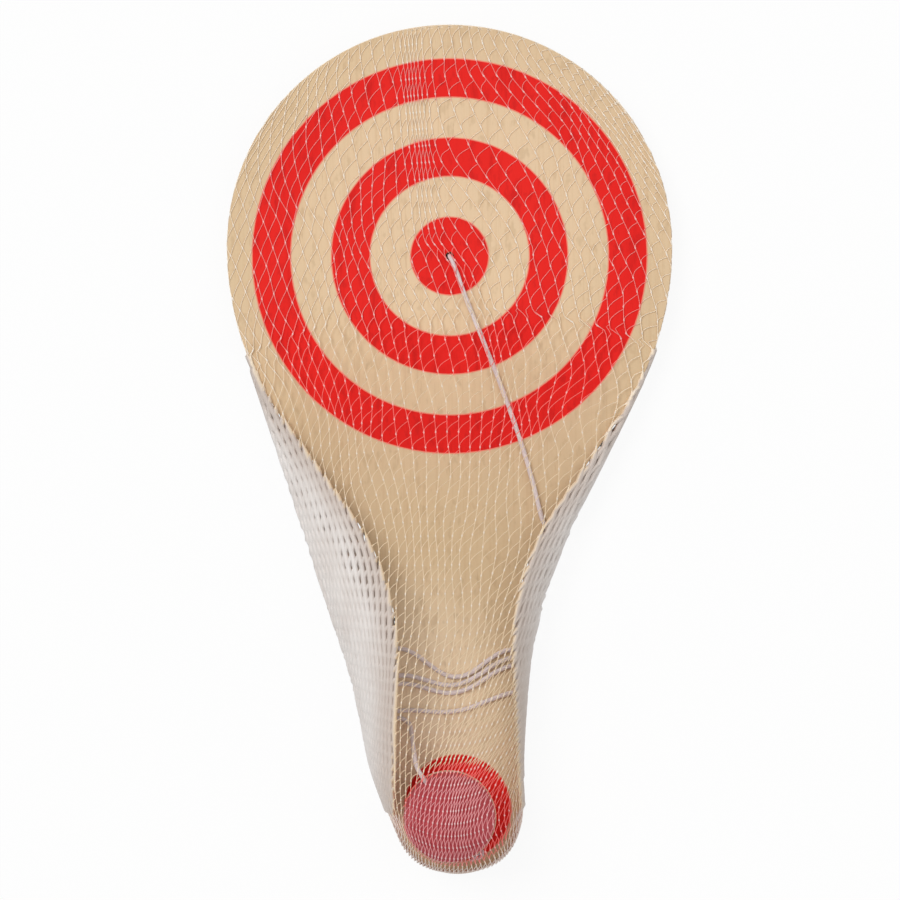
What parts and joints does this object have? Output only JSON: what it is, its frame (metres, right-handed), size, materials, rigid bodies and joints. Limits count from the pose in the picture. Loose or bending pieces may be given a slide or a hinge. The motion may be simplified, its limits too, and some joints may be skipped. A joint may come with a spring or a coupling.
{
  "type": "paddle ball game",
  "caption": "Plywood paddle with a printed target, a rubber ball on an elastic string wound round the neck, and a fine net sleeve over it all.",
  "frame": {"origin": "centre of the overall box in plan, on the surface that the sleeve's back lies on", "axes": "+Z out of the printed face, +Y from the handle to the top of the head, +X to the right as seen from the printed face"},
  "size_m": [0.1506, 0.2863, 0.0414],
  "materials": {
    "face_wood": "bare sanded veneer",
    "core_wood": "bare cut edge",
    "red_ink": "satin printed ink",
    "elastic": "matte",
    "ball_rubber": "matte",
    "net_plastic": "milky and slightly see-through"
  },
  "bodies": {
    "paddle": {"front_veneer": "face_wood", "core_ply": "core_wood", "back_veneer": "face_wood", "outer_ring_print": "red_ink", "middle_ring_print": "red_ink", "bullseye_print": "red_ink", "handle_spot_print": "red_ink", "string_face_run": "elastic", "neck_windings": "elastic", "back_knot": "elastic", "net_front": "net_plastic", "net_back": "net_plastic"},
    "string_end": {"ball_lead": "elastic", "ball_knot": "elastic"},
    "ball": {"ball": "ball_rubber"}
  },
  "joints": [
    {"name": "ball_lift", "type": "slide", "parent": "paddle", "child": "string_end", "axis": [0, 0, 1], "range_m": [0, 0.012], "stiffness_N_per_m": 25, "deforming": ["net_front", "ball_lead"]},
    {"name": "ball_swivel", "type": "hinge", "parent": "string_end", "child": "ball", "pos_m": [-0.0026, -0.12076, 0.02386], "axis": [-0.5235, 0.8062, 0.2756], "continuous": true}
  ]
}
